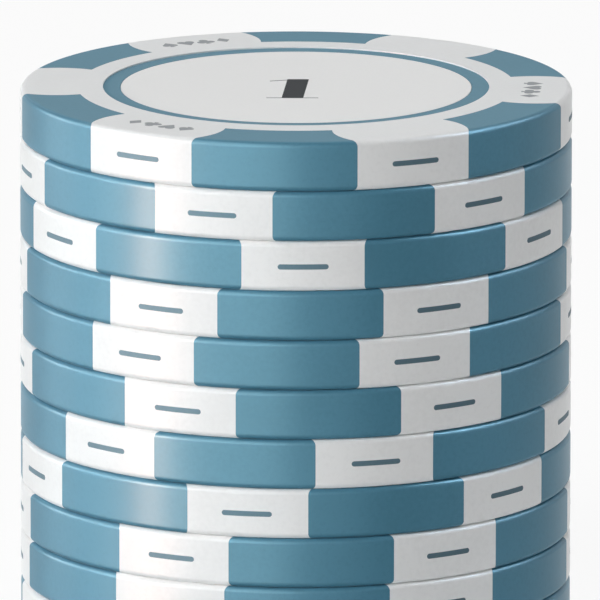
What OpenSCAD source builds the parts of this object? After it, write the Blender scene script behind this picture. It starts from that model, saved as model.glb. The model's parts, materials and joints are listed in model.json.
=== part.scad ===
// Straight stack of weighted composite casino chips, origin at the centre of the bottom face, +Z up.
// Each chip is a steel slug insert-moulded in coloured plastic, a second white shot that makes the
// ring, arms and edge spots, and two round labels laid in the faces.

/* [Stack] */
// Number of chips in the stack
chip_count = 11; // [1:1:12]

/* [Chip] */
// Outside diameter of a chip
chip_d = 40; // [38:0.5:44]
// Thickness of a chip, face to face
chip_t = 3.63; // [3.2:0.01:4.4]
// Radius of the rounded edge between face and rim
edge_r = 0.42; // [0.2:0.02:0.6]

/* [Faces] */
// Width of the coloured fields, from the rim in to the white ring
field_w = 4.1; // [3:0.1:5]
// Width of the white ring
ring_w = 1.9; // [1.2:0.1:2.6]
// Width of the coloured band between the ring and the label
band_w = 1.3; // [0.8:0.1:2]
// Depth of the band and of the label's top below the face
band_drop = 0.1; // [0.05:0.01:0.2]
// Thickness of the printed label, which fills the middle of the face
label_t = 0.12; // [0.08:0.01:0.2]
// Gap all round between the label and its seat
label_gap = 0.05; // [0.02:0.01:0.1]

/* [White shot] */
// Depth of the white shot below the face
inlay_t = 0.55; // [0.35:0.05:0.65]
// Number of arms and edge spots
spot_count = 6; // [4:1:7]
// Width of an edge spot, straight across at the rim
spot_w = 8.8; // [6:0.1:10]
// Depth of an edge spot, in from the rim
spot_depth = 2.2; // [1.4:0.1:2.6]
// Distance from the rim to the centre of an arm's round outline
arm_inset = 2.6; // [2:0.1:3]

/* [Dashes] */
// Length of the coloured dash in an edge spot
dash_w = 3.65; // [2:0.05:5]
// Height of the dash
dash_h = 0.38; // [0.3:0.02:0.8]

/* [Slug] */
// Plastic round the slug, from the rim in to its edge
slug_rim = 5; // [3.5:0.1:7]
// Plastic over the slug, from a face of the chip down to it
slug_cover = 0.86; // [0.75:0.01:1.3]
// Chamfer on the edges of the slug
slug_chamfer = 0.2; // [0.1:0.05:0.4]
// Number of keying holes in the slug, and of mould-pin holes over it in each face
key_count = 3; // [3:1:6]
// Diameter of a keying hole in the slug
key_d = 3; // [2:0.1:4]
// Distance from the slug's edge to the centre of a keying hole
key_inset = 7; // [4:0.5:10]
// Diameter of the hole that a mould pin leaves under the label
pin_d = 1.6; // [1:0.1:2.5]

/* [Hidden] */
// Turn of each chip from the bottom up, as its first spot's angle to the right of the front
CHIP_TURNS = [49, 32.5, 33.4, 49.9, 16.8, 34.9, 25.9, 31, 1.5, 42.5, 25.4];
// Direction of the front, towards the viewer
FRONT_ANGLE = -90;
// Pieces that make up one chip
PIECES = ["core", "spots", "slug", "label_top", "label_bottom"];
// Overrun of every cut past the solid it cuts
overrun = 0.5;
// Facets round a full circle in previews
$fn = 96;

chip_r = chip_d / 2;
half_t = chip_t / 2;
ring_r = chip_r - field_w;
band_r = ring_r - ring_w;
label_r = band_r - band_w;
seat_r = label_r + label_gap;
band_z = half_t - band_drop;
seat_z = band_z - label_t;
pocket_r = chip_r - spot_depth;
spot_step = 360 / spot_count;

// Round outline of an arm, drawn through both ends of its edge spot
arm_center_r = chip_r - arm_inset;
spot_chord_r = sqrt(chip_r * chip_r - spot_w * spot_w / 4);
arm_r = sqrt(pow(spot_chord_r - arm_center_r, 2) + spot_w * spot_w / 4);

slug_r = chip_r - slug_rim;
slug_t = chip_t - 2 * slug_cover;
key_circle_r = slug_r - key_inset;
key_step = 360 / key_count;
// Mould pins press on the slug half-way between its keying holes
pin_turn = key_step / 2;

function chip_name(chip) = str("chip_", chip < 10 ? "0" : "", chip);
function piece_name(chip, piece) = str(chip_name(chip), "_", piece);
function chip_turn(chip) = CHIP_TURNS[(chip - 1) % len(CHIP_TURNS)] + FRONT_ANGLE;

// Half section of a chip with rounded rim edges and stepped faces
module chip_section() {
    difference() {
        union() {
            translate([0, -half_t]) square([chip_r - edge_r, chip_t]);
            translate([0, edge_r - half_t]) square([chip_r, chip_t - 2 * edge_r]);
            for (side = [-1, 1])
                translate([chip_r - edge_r, side * (half_t - edge_r)]) circle(edge_r);
        }
        for (side = [0, 1]) mirror([0, side]) {
            translate([0, band_z]) square([band_r, band_drop + overrun]);
            translate([0, seat_z]) square([seat_r, label_t + overrun]);
        }
    }
}

// Whole outside of a chip, both plastics together
module chip_blank() {
    rotate_extrude() chip_section();
}

// Outline of the ring and its arms on a face
module spider_outline() {
    difference() {
        union() {
            circle(ring_r);
            for (spot = [0 : spot_count - 1])
                rotate(spot * spot_step) translate([arm_center_r, 0]) circle(arm_r);
        }
        circle(band_r);
    }
}

// Outline of the edge spots, which run the whole thickness of the rim
module spot_outline() {
    difference() {
        for (spot = [0 : spot_count - 1])
            rotate(spot * spot_step) translate([arm_center_r, 0]) circle(arm_r);
        circle(pocket_r);
    }
}

// Round-ended rib of the first shot that crosses an edge spot and shows as a dash
module dash_ribs() {
    for (spot = [0 : spot_count - 1])
        rotate(spot * spot_step)
            translate([pocket_r - overrun, 0, 0])
                rotate([90, 0, 90])
                    linear_extrude(spot_depth + 2 * overrun) {
                        square([dash_w - dash_h, dash_h], center = true);
                        for (end = [-1, 1])
                            translate([end * (dash_w - dash_h) / 2, 0]) circle(dash_h / 2);
                    }
}

// Room that the second shot fills: a layer under each face, joined by the edge spots
module second_shot_room() {
    difference() {
        union() {
            for (side = [0, 1]) mirror([0, 0, side])
                translate([0, 0, half_t - inlay_t]) linear_extrude(inlay_t + overrun) spider_outline();
            translate([0, 0, inlay_t - half_t]) linear_extrude(chip_t - 2 * inlay_t) spot_outline();
        }
        dash_ribs();
    }
}

// Stamped steel disc with chamfered edges and keying holes
module slug_solid() {
    difference() {
        rotate_extrude() polygon([
            [0, -slug_t / 2],
            [slug_r - slug_chamfer, -slug_t / 2],
            [slug_r, slug_chamfer - slug_t / 2],
            [slug_r, slug_t / 2 - slug_chamfer],
            [slug_r - slug_chamfer, slug_t / 2],
            [0, slug_t / 2]
        ]);
        for (key = [0 : key_count - 1])
            rotate(key * key_step) translate([key_circle_r, 0, 0])
                cylinder(h = slug_t + 2 * overrun, d = key_d, center = true);
    }
}

// Holes left under the labels by the pins that held the slug in the mould
module pin_holes() {
    for (side = [0, 1]) mirror([0, 0, side])
        for (key = [0 : key_count - 1])
            rotate(key * key_step + pin_turn) translate([key_circle_r, 0, 0])
                cylinder(h = half_t, d = pin_d);
}

// First shot: coloured plastic moulded round the slug, with the dash ribs
module core() {
    color("cadetblue") difference() {
        chip_blank();
        second_shot_room();
        slug_solid();
        pin_holes();
    }
}

// Second shot: white ring, arms and edge spots in one piece
module spots() {
    color("white") intersection() {
        chip_blank();
        second_shot_room();
    }
}

// Steel weight sealed in the first shot
module slug() {
    color("slategray") slug_solid();
}

// Printed vinyl disc in the upper face
module label_top() {
    color("whitesmoke") translate([0, 0, seat_z]) cylinder(h = label_t, r = label_r);
}

// Printed vinyl disc in the lower face
module label_bottom() {
    mirror([0, 0, 1]) label_top();
}

// Place of one chip in the stack
module in_stack(chip) {
    translate([0, 0, (chip - 1) * chip_t + half_t]) rotate(chip_turn(chip)) children();
}

for (chip = [1 : chip_count]) {
    in_stack(chip) core();
    in_stack(chip) spots();
    in_stack(chip) slug();
    in_stack(chip) label_top();
    in_stack(chip) label_bottom();
}
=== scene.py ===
# %% [markdown]
# # A stack of weighted casino chips
#
# Eleven round chips stand on each other. Each one is a steel slug moulded into grey-blue plastic, with
# a white second shot that makes the ring, the arms and the edge spots, and a printed label in each face.
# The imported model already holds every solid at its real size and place. This notebook gives those solids
# their finish, adds the print, and lights and frames them as a studio photograph would.

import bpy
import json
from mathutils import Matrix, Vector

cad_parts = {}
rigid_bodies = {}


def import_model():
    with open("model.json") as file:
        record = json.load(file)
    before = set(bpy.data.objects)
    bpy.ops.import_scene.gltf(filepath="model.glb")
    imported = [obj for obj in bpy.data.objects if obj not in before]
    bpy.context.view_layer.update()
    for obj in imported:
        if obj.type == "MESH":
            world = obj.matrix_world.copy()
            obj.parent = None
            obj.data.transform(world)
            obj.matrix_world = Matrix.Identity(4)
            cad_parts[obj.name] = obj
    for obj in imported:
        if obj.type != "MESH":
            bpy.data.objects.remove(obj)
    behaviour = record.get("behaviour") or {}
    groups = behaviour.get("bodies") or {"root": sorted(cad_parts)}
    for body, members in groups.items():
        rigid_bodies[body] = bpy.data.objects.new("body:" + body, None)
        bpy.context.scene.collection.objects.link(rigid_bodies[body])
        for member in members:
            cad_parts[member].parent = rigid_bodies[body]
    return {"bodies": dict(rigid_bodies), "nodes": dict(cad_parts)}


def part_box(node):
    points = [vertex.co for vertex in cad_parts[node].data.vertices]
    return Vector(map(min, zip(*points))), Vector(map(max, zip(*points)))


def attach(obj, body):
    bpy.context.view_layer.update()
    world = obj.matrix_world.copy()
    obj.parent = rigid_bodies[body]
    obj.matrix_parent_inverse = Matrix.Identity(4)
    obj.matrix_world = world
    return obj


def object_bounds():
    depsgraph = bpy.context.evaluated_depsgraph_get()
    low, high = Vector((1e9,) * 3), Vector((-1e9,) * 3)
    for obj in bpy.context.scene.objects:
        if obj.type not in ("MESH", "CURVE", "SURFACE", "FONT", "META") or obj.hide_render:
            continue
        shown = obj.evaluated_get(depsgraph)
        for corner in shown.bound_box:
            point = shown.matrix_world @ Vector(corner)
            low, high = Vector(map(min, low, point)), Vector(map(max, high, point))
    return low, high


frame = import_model()
cad_low, cad_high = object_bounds()
print("CAD box, mm:", [round(1000 * side, 2) for side in cad_high - cad_low])

# %% [markdown]
# ## The shared measures
#
# Everything here is in metres, so one name for a millimetre keeps the sizes readable. The chips' own
# measures could be typed in again, but a size that is typed twice is a size that drifts, so they are
# read from the boxes of the CAD pieces.

# %% Read the chips' sizes from the model
import cmath
import json
import math
import bpy
import bmesh
from mathutils import Matrix, Vector
from mathutils.geometry import delaunay_2d_cdt

MM = 0.001
CHIPS = sorted(frame["bodies"])
TOP_CHIP = CHIPS[-1]
core_low, core_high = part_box(f"{TOP_CHIP}_core")
chip_radius = (core_high.x - core_low.x) / 2
chip_height = core_high.z - core_low.z
print(f"{len(CHIPS)} chips, {2 * chip_radius / MM:.1f} x {chip_height / MM:.2f} mm")

# %% [markdown]
# ## The camera
#
# The photograph was taken with a long lens from a little above the stack: the ellipse of the top face is
# only about a fifth as tall as it is wide, and the rim's sides hardly converge. A camera could be moved
# by eye until the picture looks right, but a long lens hides small errors, so this one was fitted to the
# edges of the chips. It stands 1.18 m away and 12.5 degrees above the horizon. The focal length is kept
# in pixels of the 600 pixel frame, as it was measured, and turned into millimetres of lens.

# %% Place the camera
FRAME_PIXELS = 600
FOCAL_PIXELS = 16310
CAMERA_DISTANCE = 1184.8 * MM
CAMERA_ELEVATION = math.radians(12.48)
CAMERA_ROLL = math.radians(0.066)
AIM_SIDE = 0.30 * MM
AIM_BELOW_TOP = 15.91 * MM
SENSOR_WIDTH = 36

camera_data = bpy.data.cameras.new("photo_camera")
camera_data.sensor_width = SENSOR_WIDTH
camera_data.lens = FOCAL_PIXELS / FRAME_PIXELS * SENSOR_WIDTH
camera = bpy.data.objects.new("photo_camera", camera_data)
bpy.context.scene.collection.objects.link(camera)

aim = Vector((AIM_SIDE, 0, cad_high.z - AIM_BELOW_TOP))
to_camera = Vector((0, -math.cos(CAMERA_ELEVATION), math.sin(CAMERA_ELEVATION)))
camera.rotation_mode = "QUATERNION"
camera.rotation_quaternion = (-to_camera).to_track_quat("-Z", "Y")
camera.rotation_quaternion @= Matrix.Rotation(CAMERA_ROLL, 3, "Z").to_quaternion()
camera.location = aim + CAMERA_DISTANCE * to_camera
bpy.context.scene.camera = camera
print(f"lens {camera_data.lens:.0f} mm, camera at", [round(v / MM, 1) for v in camera.location])

# %% [markdown]
# ## Helpers for the materials
#
# Colours are written as the sRGB hex codes that a painter would read off a swatch, and one function
# turns them to the linear values that the shader works in. A second function adds a node, sets its
# values and links its inputs, so that each material below reads as a short list of what goes into what.

# %% Colour and node helpers
def linear(hex_code):
    """Turn an sRGB hex colour into linear red, green, blue and alpha."""
    shares = [int(hex_code[i:i + 2], 16) / 255 for i in (1, 3, 5)]
    curve = [s / 12.92 if s <= 0.04045 else ((s + 0.055) / 1.055) ** 2.4 for s in shares]
    return (*curve, 1.0)


def add(tree, kind, sockets=None, **settings):
    """Add a node, set its values, and fill its sockets with values or with links."""
    made = tree.nodes.new("ShaderNode" + kind)
    for name, value in settings.items():
        setattr(made, name, value)
    for name, value in (sockets or {}).items():
        if isinstance(value, bpy.types.NodeSocket):
            tree.links.new(value, made.inputs[name])
        else:
            made.inputs[name].default_value = value
    return made


def new_material(name):
    """Start an empty node material and return it with its node tree."""
    material = bpy.data.materials.new(name)
    material.use_nodes = True
    material.node_tree.nodes.clear()
    return material, material.node_tree


print("linear mid grey:", [round(v, 3) for v in linear("#808080")[:3]])

# %% [markdown]
# ## Moulded composite plastic
#
# The chips are ABS, filled with mineral powder that makes it heavy and dull. The faces come out of a
# spark-eroded mould with a fine even grain. The rim slides along the steel as the chip is pushed out, and
# fine scratches run across it, from face to face. The rounded edges are rubbed smooth by handling.
#
# Three materials could serve the three zones, but the solids have one slot each. So one recipe looks at
# how far the surface leans from upright, and blends the finish: scratched on the rim, smooth on the
# edges, grained on the faces. On the faces the colour also carries painted light: the blue is painted
# paler, a painted sheen, and the white a touch darker, a painted shade. The scratches are too fine to
# draw. Their effect is a reflection that is drawn out along the chip's axis, which is what the shader's
# anisotropy does.

# %% Set the plastic's measures
SPECK_SIZE = 0.35 * MM
CLOUD_SIZE = 9 * MM
# Range of the noise in which the powder specks fade into the plastic
SPECK_START, SPECK_END = 0.1, 0.3
# The real grain is about 0.08 mm, too fine for the picture, so it is drawn three times as coarse
GRAIN_SIZE = 0.24 * MM
GRAIN_HEIGHT = 0.002 * MM
GRAIN_STRENGTH = 0.5
FINE_DETAIL, COARSE_DETAIL = 3.0, 2.0
PLASTIC_IOR = 1.5
RIM_ROUGHNESS, EDGE_ROUGHNESS, FACE_ROUGHNESS = 0.42, 0.3, 0.9
# Lean of the surface, from 0 on the rim to 1 on a face, where the rim's finish ends and the edge's begins
RIM_END, EDGE_START, EDGE_END, FACE_START = 0.3, 0.5, 0.9, 0.99
FINISH_STOPS = ((RIM_END, RIM_ROUGHNESS), (EDGE_START, EDGE_ROUGHNESS),
                (EDGE_END, EDGE_ROUGHNESS), (FACE_START, FACE_ROUGHNESS))
# Share of the painted face colour in a face (painted sheen on the blue, painted shade on the white); the
# rest is the plastic's own
PAINTED_FACE_SHARE = 0.5
RIM_ANISOTROPY = 0.75
# A quarter turn lays the drawn-out reflection across the rim instead of round it
ACROSS_THE_RIM = 0.25
print("plastic: grain", GRAIN_SIZE / MM, "mm, specks", SPECK_SIZE / MM, "mm")


# %% Build the two plastics
def moulded_plastic(name, base, speck, painted_face_light, specular, tint):
    """Satin filled plastic with powder specks: scratched rim, smooth edges, grained faces whose colour
    carries painted light.
    """
    material, tree = new_material(name)
    coordinates = add(tree, "TexCoord").outputs
    place = coordinates["Object"]
    specks = add(tree, "TexNoise", {"Vector": place, "Scale": 1 / SPECK_SIZE, "Detail": FINE_DETAIL})
    clouds = add(tree, "TexNoise", {"Vector": place, "Scale": 1 / CLOUD_SIZE, "Detail": COARSE_DETAIL})
    amount = add(tree, "Math", {0: specks.outputs["Fac"], 1: clouds.outputs["Fac"]}, operation="MULTIPLY")
    colour = add(tree, "ValToRGB", {"Fac": amount.outputs[0]})
    low, high = colour.color_ramp.elements
    low.color, low.position = linear(speck), SPECK_START
    high.color, high.position = linear(base), SPECK_END
    facing = add(tree, "SeparateXYZ", {"Vector": coordinates["Normal"]})
    lean = add(tree, "Math", {0: facing.outputs["Z"]}, operation="ABSOLUTE").outputs[0]
    # Painted light: towards a face the colour blends into one that stands for how the faces are lit
    painted_face_weight = add(tree, "MapRange", {"Value": lean, "From Min": EDGE_END, "From Max": FACE_START,
                                   "To Max": PAINTED_FACE_SHARE})
    toned = add(tree, "MixRGB", {"Fac": painted_face_weight.outputs["Result"], "Color1": colour.outputs["Color"],
                                 "Color2": linear(painted_face_light)})
    roughness = add(tree, "ValToRGB", {"Fac": lean})
    stops = roughness.color_ramp.elements
    for stop, rough in FINISH_STOPS:
        stops.new(stop).color = (rough, rough, rough, 1)
    stops.remove(stops[0])
    stops.remove(stops[-1])
    drawn_out = add(tree, "MapRange", {"Value": lean, "From Min": RIM_END, "From Max": EDGE_START,
                                       "To Min": RIM_ANISOTROPY, "To Max": 0.0})
    round_axis = add(tree, "Tangent", direction_type="RADIAL", axis="Z")
    grain = add(tree, "TexNoise", {"Vector": place, "Scale": 1 / GRAIN_SIZE, "Detail": COARSE_DETAIL})
    bump = add(tree, "Bump", {"Height": grain.outputs["Fac"], "Distance": GRAIN_HEIGHT,
                              "Strength": GRAIN_STRENGTH})
    surface = add(tree, "BsdfPrincipled", {
        "Base Color": toned.outputs["Color"], "Roughness": roughness.outputs["Color"],
        "Normal": bump.outputs["Normal"], "IOR": PLASTIC_IOR, "Specular IOR Level": specular,
        "Specular Tint": linear(tint), "Anisotropic": drawn_out.outputs["Result"],
        "Anisotropic Rotation": ACROSS_THE_RIM, "Tangent": round_axis.outputs["Tangent"]})
    add(tree, "OutputMaterial", {"Surface": surface.outputs["BSDF"]})
    return material


# Grey-blue with a cool satin sheen; the tint keeps the sheen from greying the colour
# Its faces are painted a paler grey-blue, a painted sheen
BLUE_PLASTIC = moulded_plastic("blue_moulded_composite", base="#497B91", speck="#45768B",
                               painted_face_light="#617B87", specular=0.14, tint="#D5F8FF")
# Chalky neutral white that hardly shines
# Its faces are painted a touch darker, a painted shade
WHITE_PLASTIC = moulded_plastic("white_moulded_composite", base="#EBECEC", speck="#E6E7E7",
                                painted_face_light="#E2E3E3", specular=0.09, tint="#FFFFFF")
print("plastics:", BLUE_PLASTIC.name, WHITE_PLASTIC.name)

# %% [markdown]
# ## Printed vinyl, inks and foil
#
# Each face holds a die-cut disc of pale vinyl under a matt overlaminate, with a numeral that is
# screen-printed in charcoal. The marks on the arms are pad-printed in thin grey ink, and slate foil is
# stamped on the dashes. All four are thin dull coatings with a faint tooth, so they share one recipe, and
# differ in colour and in how much they shine.

# %% Build the label, the inks and the foil
TOOTH_SIZE = 0.18 * MM
TOOTH_HEIGHT = 0.001 * MM
TOOTH_STRENGTH = 0.4


def dull_coating(name, base, shade, roughness, specular, tint="#FFFFFF"):
    """Thin matt coating with a faint tooth in its colour and its surface."""
    material, tree = new_material(name)
    place = add(tree, "TexCoord").outputs["Object"]
    tooth = add(tree, "TexNoise", {"Vector": place, "Scale": 1 / TOOTH_SIZE, "Detail": COARSE_DETAIL})
    colour = add(tree, "ValToRGB", {"Fac": tooth.outputs["Fac"]})
    low, high = colour.color_ramp.elements
    low.color, high.color = linear(shade), linear(base)
    bump = add(tree, "Bump", {"Height": tooth.outputs["Fac"], "Distance": TOOTH_HEIGHT,
                              "Strength": TOOTH_STRENGTH})
    surface = add(tree, "BsdfPrincipled", {
        "Base Color": colour.outputs["Color"], "Roughness": roughness, "Normal": bump.outputs["Normal"],
        "IOR": PLASTIC_IOR, "Specular IOR Level": specular, "Specular Tint": linear(tint)})
    add(tree, "OutputMaterial", {"Surface": surface.outputs["BSDF"]})
    return material


# Pale and flat, a shade warmer than the white plastic
LABEL_VINYL = dull_coating("matt_label_vinyl", base="#EAEAE9", shade="#E5E5E4", roughness=0.95,
                           specular=0.14)
# Nearly black, with no shine
SCREEN_INK = dull_coating("charcoal_screen_ink", base="#2A2B2C", shade="#252627", roughness=0.95,
                          specular=0.06)
# Thin enough for the white to show through as grey
PAD_INK = dull_coating("grey_pad_ink", base="#9EA2A4", shade="#969A9C", roughness=0.95,
                       specular=0.06)
# Dark blue-grey and smoother than the inks; the cool tint keeps the warm streak from browning it
STAMP_FOIL = dull_coating("slate_stamping_foil", base="#566B75", shade="#50646D", roughness=0.5,
                          specular=0.15, tint="#B8EAFF")
print("coatings:", LABEL_VINYL.name, SCREEN_INK.name, PAD_INK.name, STAMP_FOIL.name)

# %% [markdown]
# ## Zinc-plated steel
#
# The slug is stamped from sheet steel and plated so that it does not rust inside the plastic. It is
# sealed in and never shows, so a plain grey would do, but it is a piece of the model that may be taken
# out and looked at: it gets the bluish spangled grey of zinc.

# %% Build the slug's steel
SPANGLE_SIZE = 1.2 * MM
ZINC_ROUGHNESS = 0.38


def plated_steel(name, dark, light):
    """Zinc-plated sheet steel with a faint spangle."""
    material, tree = new_material(name)
    place = add(tree, "TexCoord").outputs["Object"]
    spangle = add(tree, "TexVoronoi", {"Vector": place, "Scale": 1 / SPANGLE_SIZE})
    colour = add(tree, "ValToRGB", {"Fac": spangle.outputs["Distance"]})
    low, high = colour.color_ramp.elements
    low.color, high.color = linear(dark), linear(light)
    surface = add(tree, "BsdfPrincipled", {
        "Base Color": colour.outputs["Color"], "Metallic": 1.0, "Roughness": ZINC_ROUGHNESS})
    add(tree, "OutputMaterial", {"Surface": surface.outputs["BSDF"]})
    return material


# Soft metallic grey in which the crystals of the plating just show
SLUG_STEEL = plated_steel("zinc_plated_steel", dark="#A9AFB4", light="#C3C8CB")
print("slug:", SLUG_STEEL.name)

# %% [markdown]
# ## Dress the pieces
#
# Every chip is made of the same five pieces, and a piece's name ends with what it is. So one table says
# which finish each of the five gets, and a loop puts it in the piece's material slot. The solids
# themselves stay as they are.

# %% Dress the CAD pieces
FINISHES = {"core": BLUE_PLASTIC, "spots": WHITE_PLASTIC, "slug": SLUG_STEEL,
            "label_top": LABEL_VINYL, "label_bottom": LABEL_VINYL}
for chip in CHIPS:
    for piece, finish in FINISHES.items():
        frame["nodes"][f"{chip}_{piece}"].material_slots[0].material = finish
print("dressed", len(CHIPS) * len(FINISHES), "CAD pieces")

# %% [markdown]
# ## Films of ink
#
# Each label carries a numeral, and every other arm a row of the four card suits. A print has no thickness
# to speak of, but it has sharp outlines. It could be painted with a shader, which blurs at the edges, so
# each mark is drawn from its corners and arcs instead, and made as a film a few thousandths of a
# millimetre thick. Marks that are built from overlapping shapes, such as the club's three discs and
# stalk, are merged by a constrained triangulation, which keeps the film in one piece.

# %% Write the film maker
FILM_PROUD = 0.004 * MM
FILM_SINK = 0.002 * MM
DISC_CORNERS = 24
# Setting of the triangulation that keeps only what lies inside an outline
INSIDE_OUTLINES = 1
MERGE_DISTANCE = 1e-5 * MM


def disc(x, y, radius):
    """Corners of a circle."""
    turns = [math.tau * corner / DISC_CORNERS for corner in range(DISC_CORNERS)]
    return [(x + radius * math.cos(turn), y + radius * math.sin(turn)) for turn in turns]


def ink_film(name, outlines, ink):
    """Thin closed film that covers all the outlines, with overlaps merged."""
    points, loops = [], []
    for outline in outlines:
        loops.append(list(range(len(points), len(points) + len(outline))))
        points += [Vector(point) for point in outline]
    flat, _, triangles, *_ = delaunay_2d_cdt(points, [], loops, INSIDE_OUTLINES, MERGE_DISTANCE)
    builder = bmesh.new()
    corners = [builder.verts.new((x, y, -FILM_SINK)) for x, y in flat]
    lower = [builder.faces.new([corners[corner] for corner in triangle]) for triangle in triangles]
    raised = bmesh.ops.extrude_face_region(builder, geom=lower)["geom"]
    upper = [part for part in raised if isinstance(part, bmesh.types.BMVert)]
    bmesh.ops.translate(builder, vec=(0, 0, FILM_SINK + FILM_PROUD), verts=upper)
    bmesh.ops.recalc_face_normals(builder, faces=builder.faces)
    mesh = bpy.data.meshes.new(name)
    builder.to_mesh(mesh)
    builder.free()
    mesh.materials.append(ink)
    print(name, "has", len(mesh.polygons), "faces")
    return mesh


# %% [markdown]
# ## The numeral
#
# The label's numeral is a heavy slanted stem with a hairline flag at its top and a hairline foot, as in
# many engraved faces. A font would bring its own proportions, so the three strokes are drawn from their
# corners. The numeral stands a little off the middle of the label.

# %% Draw the numeral
NUMERAL_HEIGHT = 6.7 * MM
NUMERAL_X, NUMERAL_Y = -0.06 * MM, -0.62 * MM
STEM_WIDTH = 1.56 * MM
STEM_LEAN = 0.42 * MM
HAIRLINE = 0.15 * MM
FLAG_REACH = 1.27 * MM
FLAG_FALL = 0.6 * MM
FOOT_REACH = 1.1 * MM

top = NUMERAL_HEIGHT / 2
side = STEM_WIDTH / 2
lean = STEM_LEAN / 2
stem = [(-side - lean, -top), (side - lean, -top), (side + lean, top), (lean - side, top)]
flag_end = lean - side - FLAG_REACH
flag_low = top - FLAG_FALL - HAIRLINE
flag = [(lean, top), (flag_end, top - FLAG_FALL), (flag_end, flag_low), (lean, top - HAIRLINE)]
foot_left = -side - lean - FOOT_REACH
foot_right = side - lean + FOOT_REACH
foot_top = HAIRLINE - top
foot = [(foot_left, -top), (foot_right, -top), (foot_right, foot_top), (foot_left, foot_top)]
strokes = [[(x + NUMERAL_X, y + NUMERAL_Y) for x, y in stroke] for stroke in (stem, flag, foot)]
numeral_film = ink_film("numeral_film", strokes, SCREEN_INK)

# %% [markdown]
# ## The card suits
#
# Spade, heart, club and diamond are drawn in a square of one unit, from discs and straight-sided pieces,
# and then scaled and set side by side along the arm, with their tops to the rim. One film holds the marks
# of all three printed arms of a face.

# %% Draw the card suits
PIP_HEIGHT = 1.4 * MM
PIP_PITCH = 1.45 * MM
PIPS_RADIUS = 17.1 * MM
ARMS = 6
PRINTED_ARMS = 3

stalk = [(-0.15, -0.5), (0.15, -0.5), (0, 0)]
blade = [(0, 0.5), (-0.41, -0.05), (0, -0.2), (0.41, -0.05)]
spade = [disc(-0.2, -0.12, 0.22), disc(0.2, -0.12, 0.22), blade, stalk]
heart_tip = [(0, -0.5), (0.45, 0.1), (0, 0.3), (-0.45, 0.1)]
heart = [disc(-0.22, 0.22, 0.25), disc(0.22, 0.22, 0.25), heart_tip]
club = [disc(0, 0.25, 0.24), disc(-0.25, -0.1, 0.24), disc(0.25, -0.1, 0.24), stalk]
diamond = [[(0, -0.5), (0.36, 0), (0, 0.5), (-0.36, 0)]]
suits = [spade, heart, club, diamond]

pip_outlines = []
for arm in range(PRINTED_ARMS):
    turn = Matrix.Rotation(math.tau * arm / PRINTED_ARMS, 2)
    for place, suit in enumerate(suits):
        along = (place - (len(suits) - 1) / 2) * PIP_PITCH
        for outline in suit:
            corners = [(PIPS_RADIUS + PIP_HEIGHT * y, -along - PIP_HEIGHT * x) for x, y in outline]
            pip_outlines.append([turn @ Vector(corner) for corner in corners])
pip_film = ink_film("pip_film", pip_outlines, PAD_INK)

# %% [markdown]
# ## The dashes
#
# A rib of the first shot crosses every edge spot, and a hot roller presses slate foil on it, so it shows
# as a thin dark dash. A flat film would stand off the round rim at its ends, so the film is cut in narrow
# strips along its length and bent: each corner is moved out to the rim's radius, above its own place
# along the dash. One mesh holds the six dashes of a chip.

# %% Draw the dashes
DASH_LENGTH = 3.65 * MM
DASH_HEIGHT = 0.38 * MM
DASH_STRIPS = 16

dash_end = (DASH_LENGTH - DASH_HEIGHT) / 2
half = DASH_HEIGHT / 2
strip = 2 * dash_end / DASH_STRIPS
starts = [place * strip - dash_end for place in range(DASH_STRIPS)]
dash_outlines = [[(x, -half), (x + strip, -half), (x + strip, half), (x, half)] for x in starts]
dash_outlines += [disc(-dash_end, 0, half), disc(dash_end, 0, half)]
flat_dash = ink_film("flat_dash", dash_outlines, STAMP_FOIL)

builder = bmesh.new()
for arm in range(ARMS):
    first = len(builder.verts)
    builder.from_mesh(flat_dash)
    builder.verts.ensure_lookup_table()
    turn = Matrix.Rotation(math.tau * arm / ARMS, 3, "Z")
    for corner in builder.verts[first:]:
        along, up, out = corner.co
        corner.co = turn @ Vector((math.sqrt((chip_radius + out) ** 2 - along ** 2), along, up))
bmesh.ops.recalc_face_normals(builder, faces=builder.faces)
dash_film = bpy.data.meshes.new("dash_film")
builder.to_mesh(dash_film)
builder.free()
dash_film.materials.append(STAMP_FOIL)
print("dashes on a chip:", ARMS)

# %% [markdown]
# ## Lay the print on every chip
#
# Both faces of a chip are alike, so each film is laid on top as it is drawn, and below turned over. The
# pips have to sit on the arms, and each chip in the stack is turned its own way. Those turns could be
# typed in again, but they are in the model: the arms' direction is read from the white area round the
# rim, as the phase of its six-fold pattern. Labels are laid by hand, so each one has its own turn. The
# top one faces the viewer.

# %% Write the print layer
# Share of the chip's radius beyond which a face belongs to the rim
RIM_SHARE = 0.995


def arm_direction(chip):
    """Angle of one arm, from the area of white plastic round the rim."""
    pattern = 0
    for face in frame["nodes"][f"{chip}_spots"].data.polygons:
        if face.center.xy.length > RIM_SHARE * chip_radius:
            pattern += face.area * (complex(*face.center.xy) / chip_radius) ** ARMS
    return cmath.phase(pattern) / ARMS


def lay(name, film, chip, height, turn, over):
    """Lay a film on a chip at a height, turned, and turned over for a lower face."""
    mesh = film.copy()
    flip = Matrix.Rotation(math.pi if over else 0, 4, "X")
    mesh.transform(Matrix.Translation((0, 0, height)) @ Matrix.Rotation(turn, 4, "Z") @ flip)
    piece = bpy.data.objects.new(f"{chip}_{name}", mesh)
    bpy.context.scene.collection.objects.link(piece)
    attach(piece, chip)


print("arms of the top chip at", round(math.degrees(arm_direction(TOP_CHIP)), 2), "degrees")

# %% Place the films
LABEL_TURN_STEP = math.radians(137.5)

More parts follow.
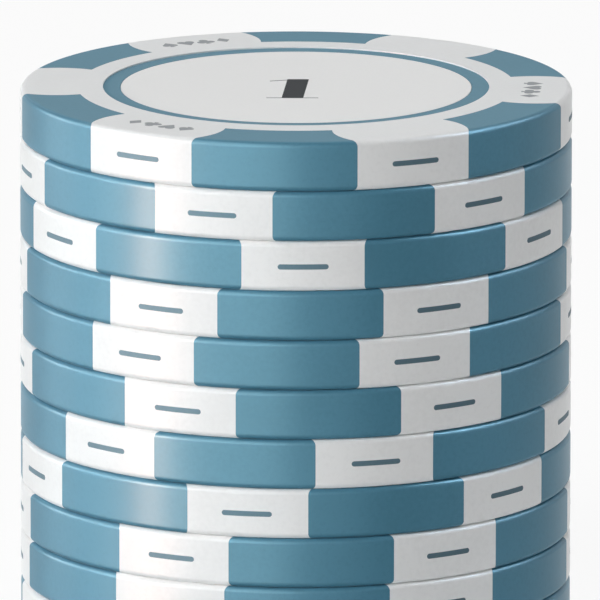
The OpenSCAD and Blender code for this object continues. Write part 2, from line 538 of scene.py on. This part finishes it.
for below_top, chip in enumerate(reversed(CHIPS)):
    chip_low, chip_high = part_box(f"{chip}_core")
    middle = (chip_low.z + chip_high.z) / 2
    upper_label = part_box(f"{chip}_label_top")[1].z
    lower_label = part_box(f"{chip}_label_bottom")[0].z
    arms_turn = arm_direction(chip)
    label_turn = below_top * LABEL_TURN_STEP
    lay("top_numeral", numeral_film, chip, upper_label, label_turn, False)
    lay("bottom_numeral", numeral_film, chip, lower_label, label_turn, True)
    lay("top_pips", pip_film, chip, chip_high.z, arms_turn, False)
    lay("bottom_pips", pip_film, chip, chip_low.z, arms_turn, True)
    lay("dashes", dash_film, chip, middle, arms_turn, False)
print("print laid on", len(CHIPS), "chips")

# %% [markdown]
# ## The floor
#
# The stack stands on a plain white sweep that fades into the background. Enough light to make such a
# floor white would burn out the chips. So the paint is lifted towards white where it is looked at, by
# the camera or in a reflection, and lights the chips only as much as a painted floor would. The lift
# stops a little short of white, which leaves the shadow of the stack to be seen.

# %% Lay the floor
FLOOR_SIDE = 8.0
# Room below the lowest film
FLOOR_DROP = 0.02 * MM
FLOOR_LIFT = 0.9


def looked_at(tree):
    """Socket that is 1 for rays from the camera, from a reflection or through glass, and 0 for others."""
    path = add(tree, "LightPath").outputs
    seen = add(tree, "Math", {0: path["Is Camera Ray"], 1: path["Is Glossy Ray"]}, operation="MAXIMUM")
    seen = add(tree, "Math", {0: seen.outputs[0], 1: path["Is Transmission Ray"]}, operation="MAXIMUM")
    return seen.outputs[0]


# Even white without shine or grain, as on a studio sweep out of focus
FLOOR_PAINT, tree = new_material("pale_floor_paint")
lift = add(tree, "Math", {0: looked_at(tree), 1: FLOOR_LIFT}, operation="MULTIPLY")
paint = add(tree, "BsdfDiffuse", {"Color": linear("#FAFAFA")})
glow = add(tree, "Emission", {"Strength": 1.0})
blend = add(tree, "MixShader", {0: lift.outputs[0], 1: paint.outputs[0], 2: glow.outputs[0]})
add(tree, "OutputMaterial", {"Surface": blend.outputs[0]})

floor_mesh = bpy.data.meshes.new("floor")
builder = bmesh.new()
bmesh.ops.create_grid(builder, x_segments=1, y_segments=1, size=FLOOR_SIDE / 2)
builder.to_mesh(floor_mesh)
builder.free()
floor_mesh.materials.append(FLOOR_PAINT)
floor = bpy.data.objects.new("floor", floor_mesh)
floor.location.z = cad_low.z - FLOOR_DROP
bpy.context.scene.collection.objects.link(floor)
print("floor:", FLOOR_SIDE, "m square")

# %% [markdown]
# ## The surround
#
# Beyond the floor there is only the world. It is white where it is looked at, for the same reason, and
# gives the chips a faint light from all sides, as the walls of a studio do.

# %% Set the surround
WORLD_LIGHT = 0.1

world = bpy.data.worlds.new("white_surround")
bpy.context.scene.world = world
world.use_nodes = True
tree = world.node_tree
tree.nodes.clear()
level = add(tree, "MapRange", {"Value": looked_at(tree), "To Min": WORLD_LIGHT, "To Max": 1.0})
sky = add(tree, "Background", {"Strength": level.outputs["Result"]})
add(tree, "OutputWorld", {"Surface": sky.outputs[0]})
print("surround lights the chips at", WORLD_LIGHT)

# %% [markdown]
# ## The lamps that light the colours
#
# The photograph is brightest on the left of the rim and falls off to the right, with an even top face. A
# key lamp low on the left does the first, a lamp behind and above the stack does the second, and weak
# fills from the front and the right keep the shadows open. Their powers are set so that the white plastic
# stays below clipping on most of the rim.

# %% Hang the soft boxes
LAMP_DISTANCE = 0.7


def soft_box(name, azimuth, elevation, width, height, power):
    """Area lamp that faces the stack; azimuth is measured to the right of the camera's side."""
    lamp_data = bpy.data.lights.new(name, "AREA")
    lamp_data.shape = "RECTANGLE"
    lamp_data.size = width
    lamp_data.size_y = height
    lamp_data.energy = power
    lamp = bpy.data.objects.new(name, lamp_data)
    turn, lift = math.radians(azimuth), math.radians(elevation)
    away = Vector((math.sin(turn) * math.cos(lift), -math.cos(turn) * math.cos(lift), math.sin(lift)))
    lamp.location = Vector((0, 0, cad_high.z / 2)) + LAMP_DISTANCE * away
    lamp.rotation_mode = "QUATERNION"
    lamp.rotation_quaternion = away.to_track_quat("Z", "Y")
    lamp.visible_camera = False
    bpy.context.scene.collection.objects.link(lamp)
    return lamp


# Name, azimuth and elevation in degrees, width and height in metres, power in watts
soft_box("left_key", -64, 16, 0.3, 0.3, 2.1)
soft_box("top_lamp", 160, 65, 0.4, 0.4, 1.4)
soft_box("front_fill", -26, 48, 0.4, 0.4, 1.76)
right_fill = soft_box("right_fill", 100, 32, 0.3, 0.3, 0.74)
# The glints on the right come from the lamps below, so this one is kept out of the reflections
right_fill.visible_glossy = False
print("soft boxes hung", LAMP_DISTANCE, "m from the stack")

# %% [markdown]
# ## The lamps that show in the finish
#
# A satin rim reflects its surroundings as soft vertical bands: a broad cool sheen over the left half,
# one narrow warm streak in it, and fine glints on the rounded edges at the right. Lamps strong enough to
# show in so dull a finish would flood the colours with light. In a studio, polarising sheets set the two
# apart. Here each of these lamps is left out of the diffuse light and shows only in reflections.

# %% Hang the sheens and glints
# Name, azimuth and elevation in degrees, width and height in metres, power in watts, colour
SHEENS = (
    ("left_sheen", -101, 10, 0.6, 0.32, 14, "#EDF8FC"),
    ("middle_sheen", -68, 10, 0.5, 0.32, 19, "#EDF8FC"),
    ("front_sheen", -30, 10, 0.7, 0.32, 36, "#EDF7FA"),
    ("centre_sheen", 10, 10, 0.4, 0.32, 4.5, "#EDF7FA"),
    ("left_streak", -62, 10, 0.05, 0.3, 38, "#FFC1AA"),
    ("upper_sheen", -66, 50, 1.1, 0.5, 20, "#EDF8FC"),
    ("right_glint", 86, 42, 0.14, 0.36, 12, "#CFE9FF"),
    ("far_glint", 112, 36, 0.3, 0.36, 5.5, "#CFE9FF"),
)
for *settings, colour in SHEENS:
    lamp = soft_box(*settings)
    lamp.visible_diffuse = False
    lamp.data.color = linear(colour)[:3]

# %% [markdown]
# ## Finish
#
# The Standard view shows colours as they were written. A film-like view would grey the whites.

# %% Finish
bpy.context.scene.view_settings.view_transform = "Standard"
